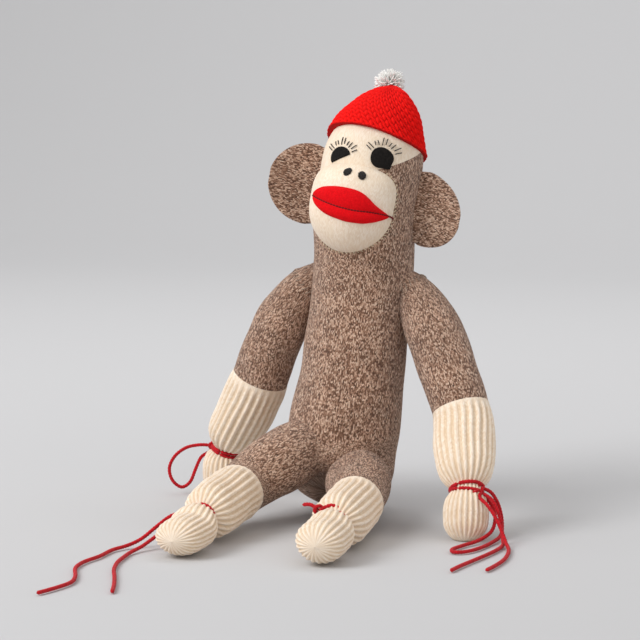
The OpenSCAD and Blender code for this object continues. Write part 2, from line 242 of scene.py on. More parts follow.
def cream_rib():
    """The ribs themselves are in the mesh. The map counts two stitches to a rib, the second one sunk."""
    n = Nodes("cream_rib")
    height, chance, uv = stitches(n)
    split = n.new("ShaderNodeSeparateXYZ")
    n.link(uv, split.inputs[0])
    # Painted shade in the sunk column of each rib, deeper where the ribs stand higher.
    sunk = n.math("MULTIPLY", n.math("ADD", n.math("COSINE", n.math(
        "MULTIPLY", split.outputs[0], math.pi)), 1.0), 0.5)
    tone = n.ramp(chance, [(0.0, rgb(242, 221, 196)), (0.5, rgb(249, 230, 208)), (1.0, rgb(253, 239, 222))])
    valley_shade = n.ramp(sunk, [(0.2, (0.78, 0.7, 0.58, 1)), (0.66, (1, 1, 1, 1))])
    rise = n.new("ShaderNodeAttribute", attribute_name="relief").outputs["Fac"]
    colour = n.mix(n.math("MULTIPLY", rise, 0.75), tone, valley_shade, "MULTIPLY")
    # Painted shade in the grooves between the stitches.
    groove_shade = [(0.0, (0.78, 0.73, 0.64, 1)), (0.6, (1, 1, 1, 1))]
    return finish_knit(n, colour, height, groove_shade, 0.3, (0.0004, 0.45), (2600, 0.00025, 0.3), 0.92, 0.15)


def yarn_material(name, dark, light, roughness=0.85):
    n = Nodes(name)
    fibre = n.new("ShaderNodeTexCoord").outputs["Object"]
    strands = n.noise(900, 4.0, fibre)
    colour = n.ramp(strands, [(0.3, dark), (0.7, light)])
    return n.finish(colour, n.bump(n.noise(2400, 3.0), 0.0004, 0.5), roughness, 0.1)


def red_knit():
    n = Nodes("red_knit")
    uv = n.new("ShaderNodeUVMap", uv_map="knit").outputs[0]
    strands = n.noise(3.0, 4.0, uv)
    relief = n.new("ShaderNodeAttribute", attribute_name="relief")
    colour = n.ramp(strands, [(0.3, rgb(222, 4, 2)), (0.7, rgb(250, 20, 12))])
    # Painted shade in the low places of the knit relief and on the turned-in brim.
    groove_shade = n.ramp(relief.outputs["Fac"], [(0.0, (0.34, 0.12, 0.12, 1)), (0.55, (1, 1, 1, 1))])
    colour = n.mix(0.9, colour, groove_shade, "MULTIPLY")
    return n.finish(colour, n.bump(n.noise(1500, 4.0), 0.0005, 0.6), 0.9, 0.0)


def felt(name, dark, light):
    n = Nodes(name)
    colour = n.ramp(n.noise(700, 5.0, rough=0.7), [(0.32, dark), (0.68, light)])
    fibres = n.bump(n.noise(1700, 5.0, rough=0.75), 0.0006, 0.7)
    return n.finish(colour, n.bump(n.noise(220, 3.0), 0.0005, 0.4, fibres), 0.97, 0.0)


MARL = marl_knit()
MARL_ROW = 1.45
RIB_ROW = 1.7
CREAM = cream_knit()
RIB = cream_rib()
CAP_RED = red_knit()
YARN_RED = yarn_material("red_yarn", rgb(150, 4, 16), rgb(216, 16, 34))
WHITE_YARN = yarn_material("white_yarn", rgb(222, 220, 216), rgb(252, 251, 248))
RED_FELT = felt("red_felt", rgb(206, 0, 10), rgb(238, 8, 20))
BLACK_FELT = felt("black_felt", rgb(14, 12, 11), rgb(34, 30, 28))
DARK_RED = yarn_material("dark_red_thread", rgb(84, 0, 8), rgb(128, 4, 14))
BLACK_THREAD = yarn_material("black_thread", rgb(12, 10, 10), rgb(40, 34, 32), 0.7)
CREAM_THREAD = yarn_material("cream_thread", rgb(206, 188, 152), rgb(238, 226, 200))
MARL_THREAD = yarn_material("marl_thread", rgb(96, 74, 60), rgb(190, 168, 150))


# -------- mesh helpers

def add_mesh(name, points, faces, material, uvs=None, relief=None):
    """points are in millimetres. uvs holds one pair for each corner of each face."""
    mesh = bpy.data.meshes.new(name)
    mesh.from_pydata([tuple(p * MM) for p in np.asarray(points, float)], [], faces)
    mesh.materials.append(material)
    if uvs is not None:
        layer = mesh.uv_layers.new(name="knit")
        layer.data.foreach_set("uv", np.asarray(uvs, np.float32).ravel())
    if relief is not None:
        values = mesh.attributes.new("relief", "FLOAT", "POINT").data
        values.foreach_set("value", np.asarray(relief, np.float32))
    mesh.polygons.foreach_set("use_smooth", [True] * len(mesh.polygons))
    mesh.update()
    piece = bpy.data.objects.new(name, mesh)
    bpy.context.scene.collection.objects.link(piece)
    return piece


def grid_faces(rows, columns, closed=True):
    """Quads over rows of points. Closed rows join their last point to their first."""
    faces = []
    for i in range(rows - 1):
        for k in range(columns if closed else columns - 1):
            j = (k + 1) % columns
            faces.append((i * columns + k, i * columns + j, (i + 1) * columns + j, (i + 1) * columns + k))
    return faces


def grid_uvs(us, vs):
    """Corner UVs for grid_faces. us has one more value than a closed row has points."""
    uvs = []
    for i in range(len(vs) - 1):
        for k in range(len(us) - 1):
            uvs += [(us[k], vs[i]), (us[k + 1], vs[i]), (us[k + 1], vs[i + 1]), (us[k], vs[i + 1])]
    return uvs


def corner_uvs(faces, rule):
    """Corner UVs for faces, by a rule that gives one point's pair from its index."""
    return [rule(i) for face in faces for i in face]


def smooth_curve(keys):
    """A monotone cubic through (place, value) pairs, as a function of an array."""
    x, y = (np.array(v, float) for v in zip(*keys))
    h = np.diff(x)
    slope = np.diff(y) / h
    m = np.zeros(len(x))
    m[0], m[-1] = slope[0], slope[-1]
    for i in range(1, len(x) - 1):
        if slope[i - 1] * slope[i] > 0:
            w0, w1 = 2 * h[i] + h[i - 1], h[i] + 2 * h[i - 1]
            m[i] = (w0 + w1) / (w0 / slope[i - 1] + w1 / slope[i])

    def value(s):
        s = np.clip(np.asarray(s, float), x[0], x[-1])
        i = np.clip(np.searchsorted(x, s) - 1, 0, len(x) - 2)
        t = (s - x[i]) / h[i]
        return ((1 + 2 * t) * (1 - t) ** 2 * y[i] + t * (1 - t) ** 2 * h[i] * m[i]
                + t * t * (3 - 2 * t) * y[i + 1] + t * t * (t - 1) * h[i] * m[i + 1])
    return value


def spline(points, steps):
    """A smooth line through the points, with steps points for each stretch."""
    p = [np.array(q, float) for q in points]
    out = []
    for i in range(len(p) - 1):
        a, b, c, d = p[max(i - 1, 0)], p[i], p[i + 1], p[min(i + 2, len(p) - 1)]
        for k in range(steps):
            t = k / steps
            out.append(0.5 * (2 * b + (c - a) * t + (2 * a - 5 * b + 4 * c - d) * t * t
                              + (3 * b - a - 3 * c + d) * t ** 3))
    out.append(p[-1])
    return np.array(out)


class Path:
    """A smooth centreline with a direction across it that turns as little as possible."""

    def __init__(self, points, first_across=(0, -1, 0), steps=24):
        self.p = spline(points, steps)
        step = np.linalg.norm(np.diff(self.p, axis=0), axis=1)
        self.s = np.concatenate([[0], np.cumsum(step)])
        self.length = self.s[-1]
        t = np.gradient(self.p, axis=0)
        self.t = t / np.linalg.norm(t, axis=1)[:, None]
        across = np.array(first_across, float)
        rows = []
        for direction in self.t:
            across = across - (across @ direction) * direction
            across /= np.linalg.norm(across)
            rows.append(across.copy())
        self.n = np.array(rows)

    def at(self, s):
        get = lambda values: np.stack([np.interp(s, self.s, values[:, k]) for k in range(3)], -1)
        p, t, n = get(self.p), get(self.t), get(self.n)
        t /= np.linalg.norm(t, axis=-1)[..., None]
        n -= np.sum(n * t, -1)[..., None] * t
        n /= np.linalg.norm(n, axis=-1)[..., None]
        return p, t, n, np.cross(t, n)

    def near(self, point):
        """The length along the line at its nearest place to a point."""
        return self.s[np.argmin(np.linalg.norm(self.p - np.asarray(point, float), axis=1))]


def lumps(points, size, height, seed=0.0):
    """How far a soft filling pushes each point out, in millimetres."""
    return np.array([noise.noise(Vector(p) / size + Vector((seed, seed, seed))) for p in points]) * height


def skin(name, path, s0, s1, radius, material, columns, row_mm, around, ribs=0, rib_mm=0.0,
         lump=(28, 1.0), close=(False, False), seed=None, step=2.0, fade=0.0):
    """A knitted tube round a stretch of a path. around is the number of stitches round it.

    The ribs rise over the first fade millimetres, and they die out where the tube closes.
    """
    if ribs:
        columns = ribs * 8
    rows = max(8, int(abs(s1 - s0) / step))
    s = np.linspace(s0, s1, rows + 1)
    if close[0]:
        s = s0 + (s1 - s0) * (np.linspace(0, 1, rows + 1) ** 1.6)
    if close[1]:
        s = s0 + (s1 - s0) * (1 - (1 - np.linspace(0, 1, rows + 1)) ** 1.6)
    angle = np.arange(columns) / columns * TAU
    p, _, n, b = path.at(s)
    r = radius(s)[:, None] * np.ones(columns)[None, :]
    rise = None
    if ribs:
        wave = np.cos(angle * ribs)
        bulge = np.sign(wave) * np.abs(wave) ** 0.6
        grow = np.clip((s - s0) / fade, 0.1, 1) if fade else np.ones(len(s))
        rise = grow * np.clip((radius(s) - 2) / 12, 0, 1)
        r = r + rib_mm * bulge[None, :] * rise[:, None]
        rise = list(np.repeat(rise, columns))
    out = np.cos(angle)[None, :, None] * n[:, None] + np.sin(angle)[None, :, None] * b[:, None]
    points = p[:, None] + r[..., None] * out
    flat = points.reshape(-1, 3)
    push = lumps(flat, lump[0], lump[1], len(name) * 1.7 if seed is None else seed).reshape(r.shape)
    points = points + out * (push * np.clip(r / 20, 0, 1))[..., None]
    us = np.linspace(0, around, columns + 1)
    if ribs:
        us = np.linspace(0, 2 * ribs, columns + 1)
    vs = s / row_mm
    faces = grid_faces(rows + 1, columns)
    uvs = grid_uvs(us, vs)
    flat = list(points.reshape(-1, 3))
    for end, row in ((close[0], 0), (close[1], rows)):
        if end:
            flat.append(np.mean(points[row], axis=0))
            if ribs:
                rise.append(0.0)
            tip = len(flat) - 1
            for k in range(columns):
                a, c = row * columns + k, row * columns + (k + 1) % columns
                faces.append((a, tip, c) if row else (c, tip, a))
                uvs += [(us[k], vs[row]), (us[k], vs[row]), (us[k + 1], vs[row])]
    return add_mesh(name, flat, faces, material, uvs, rise)


def yarn_mesh(points, diameter, pitch=4.5, sides=14, step=0.7):
    """Points and faces of a yarn of two twisted plies along a line."""
    line = np.array(points, float)
    path = Path(line, (0.1, 0.2, 1.0), 6)
    count = max(4, int(path.length / step))
    s = np.linspace(0, path.length, count + 1)
    p, _, n, b = path.at(s)
    angle = np.arange(sides) / sides * TAU
    twist = s / pitch * TAU
    wave = np.abs(np.cos(angle[None, :] - twist[:, None]))
    r = diameter / 2 * (0.7 + 0.34 * wave)
    fade = np.clip(np.minimum(s, path.length - s) / (diameter * 0.4), 0.35, 1)
    r = r * fade[:, None]
    ring = p[:, None] + r[..., None] * (np.cos(angle)[None, :, None] * n[:, None]
                                        + np.sin(angle)[None, :, None] * b[:, None])
    faces = grid_faces(count + 1, sides)
    last = count * sides
    faces.append(tuple(range(sides - 1, -1, -1)))
    faces.append(tuple(range(last, last + sides)))
    return ring.reshape(-1, 3), faces


def merge(parts):
    """Joins lists of (points, faces) into one."""
    points, faces, base = [], [], 0
    for p, f in parts:
        points.append(np.asarray(p, float))
        faces += [tuple(i + base for i in face) for face in f]
        base += len(p)
    return np.concatenate(points), faces


def threads(name, lines, diameter, material, body, slot, *nodes, pitch=2.2, sides=8, step=0.5):
    """One piece made of several short threads, on a body."""
    points, faces = merge([yarn_mesh(line, diameter, pitch, sides, step) for line in lines])
    dress(add_mesh(name, points, faces, material), slot, *nodes, body=body)


def dress(piece, slot, *nodes, fill=None, body=None):
    """Hides the parts that a piece stands for, and attaches a rigid one to the body it rides on. The slot and
    the fill, how full a stuffed one is, are not used.
    """
    if nodes:
        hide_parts(*nodes)
    if body is not None:
        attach(piece, body)


def dress_limb(piece, slot, part, side, fill):
    dress(piece, slot, part + "_" + side, part + "_stuffing_" + side, fill=fill)


def blend(piece, parent, child, start, end):
    """Bakes a piece's placement into its mesh. The bodies and the two places are not used."""
    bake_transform(piece)


def bend(piece, parent, child, joint, along, before, after):
    """Passes a piece to blend with places before and after a joint, in millimetres."""
    blend(piece, parent, child, joint - along * before, joint + along * after)


# -------- free yarn

YARN = 3.0
CORDS = {
    "wrist_left_loop": ("hand_left", "object", [
        (132, -75, 39), (138, -71, 35), (143, -68, 25), (146, -69, 13), (147, -78, 4), (144, -98, 2),
        (139, -120, 2), (132, -134, 2), (124, -137, 2), (121, -128, 2), (126, -112, 2), (134, -96, 3),
        (141, -83, 8), (142, -76, 18), (138, -75, 28), (132, -76, 34)]),
    "wrist_left_tail_a": ("hand_left", "bare", [
        (133, -80, 36), (141, -81, 31), (147, -84, 20), (150, -88, 10), (152, -94, 4), (154, -104, 2),
        (153, -122, 2), (149, -142, 2), (144, -162, 2), (139, -182, 2), (136, -198, 2)]),
    "wrist_left_tail_b": ("hand_left", "bare", [
        (131, -85, 34), (139, -90, 29), (147, -95, 20), (153, -100, 10), (157, -106, 4), (161, -116, 2),
        (164, -134, 2), (165, -154, 2), (163, -174, 2), (160, -190, 2)]),
    "wrist_right_loop": ("hand_right", "object", [
        (-127, 43, 40), (-135, 39, 41), (-146, 34, 39), (-155, 30, 32), (-159, 27, 22), (-156, 26, 12),
        (-149, 29, 6), (-143, 34, 10), (-140, 39, 20), (-136, 43, 30), (-128, 46, 35)]),
    "ankle_right_tail_a": ("foot_right", "bare", [
        (-78, -166, 26), (-87, -169, 23), (-97, -173, 15), (-106, -179, 7), (-114, -187, 3), (-121, -202, 2),
        (-122, -224, 2), (-126, -246, 2), (-124, -266, 2), (-115, -288, 2), (-110, -308, 2), (-114, -328, 2),
        (-120, -345, 2)]),
    "ankle_right_tail_b": ("foot_right", "bare", [
        (-78, -167, 20), (-87, -173, 15), (-95, -181, 9), (-101, -192, 4), (-105, -206, 2), (-104, -222, 2),
        (-102, -240, 2), (-96, -262, 2), (-87, -284, 2), (-78, -308, 2), (-72, -327, 2)]),
}


def make_cords():
    for name, (body, far_end, route) in CORDS.items():
        line = spline(route, 3)
        line[:, 2] = np.maximum(line[:, 2], YARN / 2 + 0.2)
        points, faces = yarn_mesh(line, YARN, step=0.8)
        piece = add_mesh(name + "_yarn", points, faces, YARN_RED)
        dress(piece, "red_yarn", name, body=body)


make_cords()


# -------- the head's own frame

HEAD_TILT = (-11, 7.5, 0)
HEAD_AT = pivot("head_nod")
HEAD_R, HEAD_FULL, HEAD_H = 40.5, 34.0, 80.5
MUZZLE_R, MUZZLE_H = 34.0, 36.0
MUZZLE_AT = np.array((-3.0, -27.0, -2.0))


def turn(x, y, z):
    m = Matrix.Rotation(math.radians(z), 3, "Z") @ Matrix.Rotation(math.radians(y), 3, "Y") \
        @ Matrix.Rotation(math.radians(x), 3, "X")
    return np.array(m)


HEAD_TURN = turn(*HEAD_TILT)


def on_head(points):
    """Points in the head's own frame, moved to where the head is."""
    return np.asarray(points, float) @ HEAD_TURN.T + HEAD_AT


def head_radius(z):
    """The head's radius at height z in its own frame."""
    if z > HEAD_FULL:
        return HEAD_R * math.sqrt(max(0.0, 1 - ((z - HEAD_FULL) / (HEAD_H - HEAD_FULL)) ** 2.5))
    return HEAD_R


def head_y(x, z):
    """Where the face lies at x, z in the head's frame."""
    return -math.sqrt(max(head_radius(z) ** 2 - x * x, 1.0))


def muzzle_size(z):
    """The muzzle's half-width and its reach at height z. It is squarer above its middle than below."""
    t = (z - MUZZLE_AT[2]) / MUZZLE_H
    across, ahead = (4.5, 2.6) if t > 0 else (2.0, 2.0)
    return tuple(max(0.01, MUZZLE_R * math.sqrt(max(0.0, 1 - abs(t) ** power))) for power in (across, ahead))


def muzzle_level(p):
    """Less than 1 inside the muzzle and more than 1 outside it."""
    wide, deep = muzzle_size(p[2])
    return math.hypot((p[0] - MUZZLE_AT[0]) / wide, (p[1] - MUZZLE_AT[1]) / deep)


def muzzle_y(x, z):
    wide, deep = muzzle_size(z)
    return MUZZLE_AT[1] - deep * math.sqrt(max(1 - ((x - MUZZLE_AT[0]) / wide) ** 2, 1e-4))


def muzzle_point(angle, z):
    """A point on the muzzle, by its angle round it from straight ahead and its height."""
    wide, deep = muzzle_size(z)
    a = math.radians(angle)
    return np.array((MUZZLE_AT[0] + wide * math.sin(a), MUZZLE_AT[1] - deep * math.cos(a), z))


def muzzle_ray(tilt, a):
    """Where a ray from the muzzle's middle leaves it, tilted from straight ahead towards angle a."""
    ray = np.array((math.sin(tilt) * math.cos(a), -math.cos(tilt), math.sin(tilt) * math.sin(a)))
    near, far = 0.0, 2 * MUZZLE_H
    for _ in range(18):
        middle = (near + far) / 2
        if muzzle_level(MUZZLE_AT + ray * middle) < 1:
            near = middle
        else:
            far = middle
    return MUZZLE_AT + ray * near


def muzzle_normal(p):
    n = np.array([muzzle_level(p + step) - muzzle_level(p - step) for step in np.eye(3) * 0.1])
    return n / np.linalg.norm(n)


def face_point(x, z):
    """A point on whichever of the head and the muzzle stands further forward."""
    y = head_y(x, z)
    if abs(x - MUZZLE_AT[0]) < muzzle_size(z)[0]:
        y = min(y, muzzle_y(x, z))
    return np.array((x, y, z))


# -------- torso, neck and head skins

TORSO_BASE = np.array((0.0, -14.0, 0.0))
TORSO_TOP = pivot("neck_turn")
HEAD_TOP = on_head([(0, 0, HEAD_H)])[0]
TRUNK = Path([TORSO_BASE - (TORSO_TOP - TORSO_BASE) * 0.06 + np.array((-7, 0, 0)),
              TORSO_BASE + (TORSO_TOP - TORSO_BASE) * 0.3 + np.array((-3, 0, 0)),
              TORSO_BASE + (TORSO_TOP - TORSO_BASE) * 0.65, TORSO_TOP, HEAD_AT, on_head([(0, 0, 20)])[0],
              on_head([(0, 0, 40)])[0], on_head([(0, 0, 60)])[0], HEAD_TOP])
S_SEAT = 9.0
S_NECK = TRUNK.near(TORSO_TOP) + 8
S_PIVOT = TRUNK.near(HEAD_AT)


def trunk_radius():
    top = TRUNK.length
    keys = [(S_SEAT, 3), (S_SEAT + 2, 17), (S_SEAT + 5, 25), (18, 33), (26, 39), (38, 43.6), (52, 45.6),
            (76, 45.6), (102, 43.8), (132, 42), (165, 41), (S_NECK - 14, 40.6), (S_NECK, 40.2),
            (S_NECK + 14, 40.2), (S_PIVOT, HEAD_R), (top - HEAD_H + HEAD_FULL, HEAD_R)]
    for share in (0.15, 0.3, 0.45, 0.58, 0.7, 0.8, 0.87, 0.93, 0.97, 0.99):
        z = HEAD_FULL + (HEAD_H - HEAD_FULL) * share
        keys.append((top - HEAD_H + z, head_radius(z)))
    keys.append((top, 0.3))
    return smooth_curve(keys)


TRUNK_R = trunk_radius()


# Where the underside starts to rise, over what depth, how far, and the height above which nothing moves.
CROTCH_BACK, CROTCH_DEPTH, CROTCH_LIFT, CROTCH_TOP = 16, 60, 34, 64
FLOOR_Z = 0.2


def raise_crotch(piece):
    """Lifts the torso's underside in front, where it divides into the legs, and flattens its seat."""
    for vertex in piece.data.vertices:
        _, y, z = vertex.co / MM
        ahead = min(1.0, max(0.0, (CROTCH_BACK - y) / CROTCH_DEPTH))
        lift = CROTCH_LIFT * ahead * ahead * (3 - 2 * ahead)
        if z < CROTCH_TOP:
            z = lift + max(z, FLOOR_Z) * (CROTCH_TOP - lift) / CROTCH_TOP
        vertex.co.z = max(z, FLOOR_Z) * MM
    piece.data.update()


def trunk_point(s):
    """A place on the trunk's centreline."""
    return TRUNK.at(np.array([s]))[0][0]


def make_torso():
    piece = skin("torso_skin", TRUNK, S_SEAT, S_NECK, TRUNK_R, MARL, 144, MARL_ROW, 150, close=(True, False),
                 lump=(34, 1.8), step=1.8, seed=3.0)
    raise_crotch(piece)
    dress(piece, "marl_knit", "torso_sock", "torso_stuffing", "neck_sock", "neck_stuffing", fill=0.8)
    blend(piece, "torso", "neck", TORSO_TOP - (TORSO_TOP - TORSO_BASE) * 0.14, trunk_point(S_NECK - 1))


@contextlib.contextmanager
def edited(piece):
    """Opens a piece's mesh for bmesh to work on, and puts the result back."""
    bm = bmesh.new()
    bm.from_mesh(piece.data)
    yield bm
    bm.to_mesh(piece.data)
    bm.free()
    piece.data.update()


def cut(piece, point, normal, keep_above):
    """Cuts a mesh at a plane, and keeps the part on one side of it."""
    with edited(piece) as bm:
        bmesh.ops.bisect_plane(bm, geom=bm.verts[:] + bm.edges[:] + bm.faces[:], plane_co=Vector(point) * MM,
                               plane_no=Vector(normal), clear_inner=keep_above, clear_outer=not keep_above)


CROWN_Z = 42.5
# How the seam climbs towards the doll's left and towards the back.
CROWN_CLIMB = (0.3, 0.45)


def head_cloth(name, material, row_mm, around):
    return skin(name, TRUNK, S_NECK, TRUNK.length, TRUNK_R, material, 144, row_mm, around,
                close=(False, True), lump=(34, 1.0), step=1.6, seed=3.0)


def make_head():
    seam = on_head([(0, 0, CROWN_Z)])[0], HEAD_TURN @ towards((*CROWN_CLIMB, 0), (0, 0, 1))
    lower = head_cloth("head_skin", MARL, MARL_ROW, 150)
    cut(lower, *seam, False)
    dress(lower, "marl_knit", "head_sock", "head_stuffing", fill=0.85)
    blend(lower, "neck", "head", trunk_point(S_NECK + 1), trunk_point(S_NECK + 18))
    crown = head_cloth("crown_skin", CREAM, 1.6, 136)
    cut(crown, *seam, True)
    dress(crown, "cream_knit", "head_crown", fill=0.85, body="head")


make_torso()
make_head()


# -------- face

def make_muzzle():
    rings, columns = 44, 96
    points = []
    for i in range(rings + 1):
        tilt = math.radians(2 + 124 * i / rings)
        points += [muzzle_ray(tilt, TAU * k / columns) for k in range(columns)]
    points = np.array(points)
    push = lumps(points, 22, 0.7, 3.0)
    centre = points - MUZZLE_AT
    points = points + centre / np.linalg.norm(centre, axis=1)[:, None] * push[:, None]
    faces = grid_faces(rings + 1, columns)
    faces.append(tuple(range(columns)))
    faces = [tuple(reversed(face)) for face in faces]

    def knit_place(i):
        x, y, z = points[i]
        return math.atan2(x, -(y - 10)) * 52 / 1.9, z / 1.6

    piece = add_mesh("muzzle_skin", on_head(points), faces, CREAM, corner_uvs(faces, knit_place))
    dress(piece, "cream_knit", "muzzle", "muzzle_stuffing", fill=0.85, body="head")


def inside_trunk(p):
    """Whether a point in the head's frame is inside the skin of the head and neck."""
    point = on_head([p])[0]
    s = TRUNK.near(point)
    return np.linalg.norm(point - trunk_point(s)) < TRUNK_R([s])[0]


def muzzle_edge(a):
    """Where the muzzle's cloth meets the head, at angle a round the nose."""
    low, high = 0.3, 2.2
    for _ in range(16):
        tilt = (low + high) / 2
        if inside_trunk(muzzle_ray(tilt, a)):
            high = tilt
        else:
            low = tilt
    return muzzle_ray(low, a)


def make_muzzle_stitches():
    lines = []
    count = 72
    for k in range(count):
        p, ahead = (muzzle_edge(TAU * (k + more) / count) for more in (0, 0.5))
        if p[2] > 28:
            continue
        side = towards(p, ahead) * 0.9
        out = muzzle_normal(p)
        onto_muzzle = p + towards(p, MUZZLE_AT + np.array((0, -MUZZLE_R, 0))) * 1.2
        onto_head = p + towards(MUZZLE_AT, p) * 1.3
        lines.append(on_head([onto_muzzle - side + out * 0.5, p + out * 0.8, onto_head + side + out * 0.3]))
    threads("muzzle_stitches", lines, 0.7, CREAM_THREAD, "head", "cream_knit")


# The lips as angles round the muzzle and heights: their upper and lower edges and the line between.
LIP_ENDS = (-51.0, 75.0)
LINE_END = 92.0
LIP_TOP = smooth_curve([(-51, 1.6), (-45, 5.4), (-30, 8.8), (-4, 10.2), (12, 9.8), (24, 8.2), (35, 4.8),
                        (45, 1.0), (58, -2.0), (75, -4.8)])
LIP_LINE = smooth_curve([(-51, 1.6), (-40, -0.4), (-23, -3.1), (0, -5.6), (17, -6.3), (40, -5.3), (66, -4.8),
                         (75, -4.8), (LINE_END, -5.2)])
LIP_LOW = smooth_curve([(-51, 1.6), (-45, -3.4), (-34, -8.4), (-20, -12.2), (-4, -14.4), (12, -15.6),
                        (29, -15.2), (46, -12.8), (58, -10.0), (67, -7.6), (75, -4.8)])


def felt_patch(name, front, rim, material, slot, node):
    """A piece of felt from its front rows of points and the rim where it meets the cloth."""
    rows, columns = front.shape[:2]
    points = list(front.reshape(-1, 3))
    faces = grid_faces(rows, columns, closed=False)
    edge = ([(0, k) for k in range(columns)] + [(i, columns - 1) for i in range(1, rows)]
            + [(rows - 1, k) for k in range(columns - 2, -1, -1)] + [(i, 0) for i in range(rows - 2, 0, -1)])
    base = len(points)
    points += [rim[i, k] for i, k in edge]
    for j, (i, k) in enumerate(edge):
        i2, k2 = edge[(j + 1) % len(edge)]
        faces.append((i2 * columns + k2, i * columns + k, base + j, base + (j + 1) % len(edge)))
    piece = add_mesh(name, on_head(points), faces, material)
    dress(piece, slot, node, body="head")


def make_lips():
    columns, rows = 97, 25
    front, rim = np.zeros((rows, columns, 3)), np.zeros((rows, columns, 3))
    for k in range(columns):
        u = -math.cos(math.pi * k / (columns - 1))
        angle = LIP_ENDS[0] + (LIP_ENDS[1] - LIP_ENDS[0]) * (u + 1) / 2
        top, line, low = (float(edge([angle])[0]) for edge in (LIP_TOP, LIP_LINE, LIP_LOW))
        for i in range(rows):
            w = -1 + 2 * i / (rows - 1)
            z = line + (top - line) * w if w > 0 else line + (line - low) * w
            p = muzzle_point(angle, z)
            n = muzzle_normal(p)
            full = min(1.0, (top - line if w > 0 else line - low) / 8)
            puff = 1.5 + 2.4 * full * math.sin(math.pi * abs(w)) ** 0.7
            front[i, k] = p + n * puff * (1 - 0.35 * abs(w) ** 10)
            rim[i, k] = p - n * 1.2
    felt_patch("lip_felt", front, rim, RED_FELT, "red_felt", "lips")
    line = []
    count = 36
    for angle in np.linspace(LIP_ENDS[0] + 1, LINE_END, 2 * count + 1):
        p = muzzle_point(angle, float(LIP_LINE([angle])[0]))
        line.append(p + muzzle_normal(p) * (1.7 if angle < LIP_ENDS[1] else 0.6))
    stitched = [on_head(line[2 * i:2 * i + 3]) for i in range(count)]
    threads("mouth_thread", stitched, 1.6, DARK_RED, "head", "dark_red_thread", "mouth_line", pitch=2.5,
            step=0.4)


# Each eye's centre and radius, the doll's left one first.
EYES = {1: (15.9, 39.9, 8.5), -1: (-16.5, 35.6, 8.5)}


def eye_edge(side, a):
    """The distance from the eye's centre to its edge at angle a."""
    r = EYES[side][2]
    if side > 0:
        turned = (a + math.radians(50) + math.pi) % TAU - math.pi
        return r * (0.97 + 0.03 * math.cos(3 * a)) * (1 + 0.3 * math.exp(-(turned / 0.3) ** 2))
    turned = (a + math.radians(62) + math.pi) % TAU - math.pi
    if abs(turned) < 1.4:
        return min(r, 0.14 * r / max(math.cos(turned), 0.05))
    return r


def make_eye(side):
    rings, columns = 9, 72
    ex, ez, _ = EYES[side]
    points = []
    for i in range(rings + 2):
        share = min(i, rings) / rings
        for k in range(columns):
            a = TAU * k / columns
            d = eye_edge(side, a) * share
            x, z = ex + d * math.cos(a), ez + d * math.sin(a)
            lift = 1.9 - 0.5 * share ** 6 if i <= rings else -0.6
            p = face_point(x, z)
            points.append(p + np.array((x, p[1], 0)) / HEAD_R * lift)
    return np.array(points), grid_faces(rings + 2, columns)


def make_eyes():
    points, faces = merge([make_eye(1), make_eye(-1)])
    piece = add_mesh("eye_felt", on_head(points), faces, BLACK_FELT)
    with edited(piece) as bm:
        bmesh.ops.remove_doubles(bm, verts=bm.verts[:], dist=0.00002)
        bmesh.ops.recalc_face_normals(bm, faces=bm.faces[:])
    dress(piece, "black_felt", "eyes", body="head")


def make_lashes():
    lines = []
    for side in (-1, 1):
        ex, ez, r = EYES[side]
        for i in range(10):
            a = math.radians(28 + 124 * i / 9)
            start, reach = r + 1.8 + 0.6 * math.sin(i * 2.1), r + 7.0 + 1.2 * math.sin(i * 1.7)
            line = []
            for share in (0, 0.35, 0.7, 1):
                d = start + (reach - start) * share
                bent = a + 0.05 * share * math.sin(i * 3.3)
                p = face_point(ex + d * math.cos(bent) * 0.95, ez + d * math.sin(bent))
                line.append(p + np.array((p[0], p[1], 0)) / HEAD_R * (0.8 + 0.4 * math.sin(math.pi * share)))
            lines.append(on_head(line))
    threads("lash_threads", lines, 0.85, BLACK_THREAD, "head", "black_thread", "eyelashes", pitch=1.6, sides=7)


def make_nostrils():
    lines = []
    for x0, z0, lean in ((7.2, 22.0, -0.25), (-4.5, 23.1, 0.1)):
        for i in range(7):
            offset = (i - 3) / 3
            half = 3.6 * math.sqrt(1 - (offset * 0.86) ** 2)
            line = []
            for share in (-1, -0.4, 0.4, 1):
                x, z = x0 + offset * 2.5 + share * half * lean, z0 + share * half
                p = np.array((x, muzzle_y(x, z), z))
                line.append(p + muzzle_normal(p) * (1.0 - 0.8 * share * share))
            lines.append(on_head(line))
    threads("nostril_threads", lines, 1.05, BLACK_THREAD, "head", "black_thread", "nostrils", pitch=1.8,
            sides=7, step=0.4)


make_muzzle()
make_muzzle_stitches()
make_lips()
make_eyes()
make_lashes()
make_nostrils()


# -------- ears

def make_ears():
    for side in (1, -1):
        name = "left" if side > 0 else "right"
        piece = ear_mesh(side)
        dress(piece, "marl_knit", "ear_" + name, fill=0.5)
        start, end = on_head([(side * 38, 2, 12), (side * 52, 2, 12)])
        blend(piece, "head", "ear_" + name, start, end)


EAR_ROOT, EAR_REACH = 33, 46


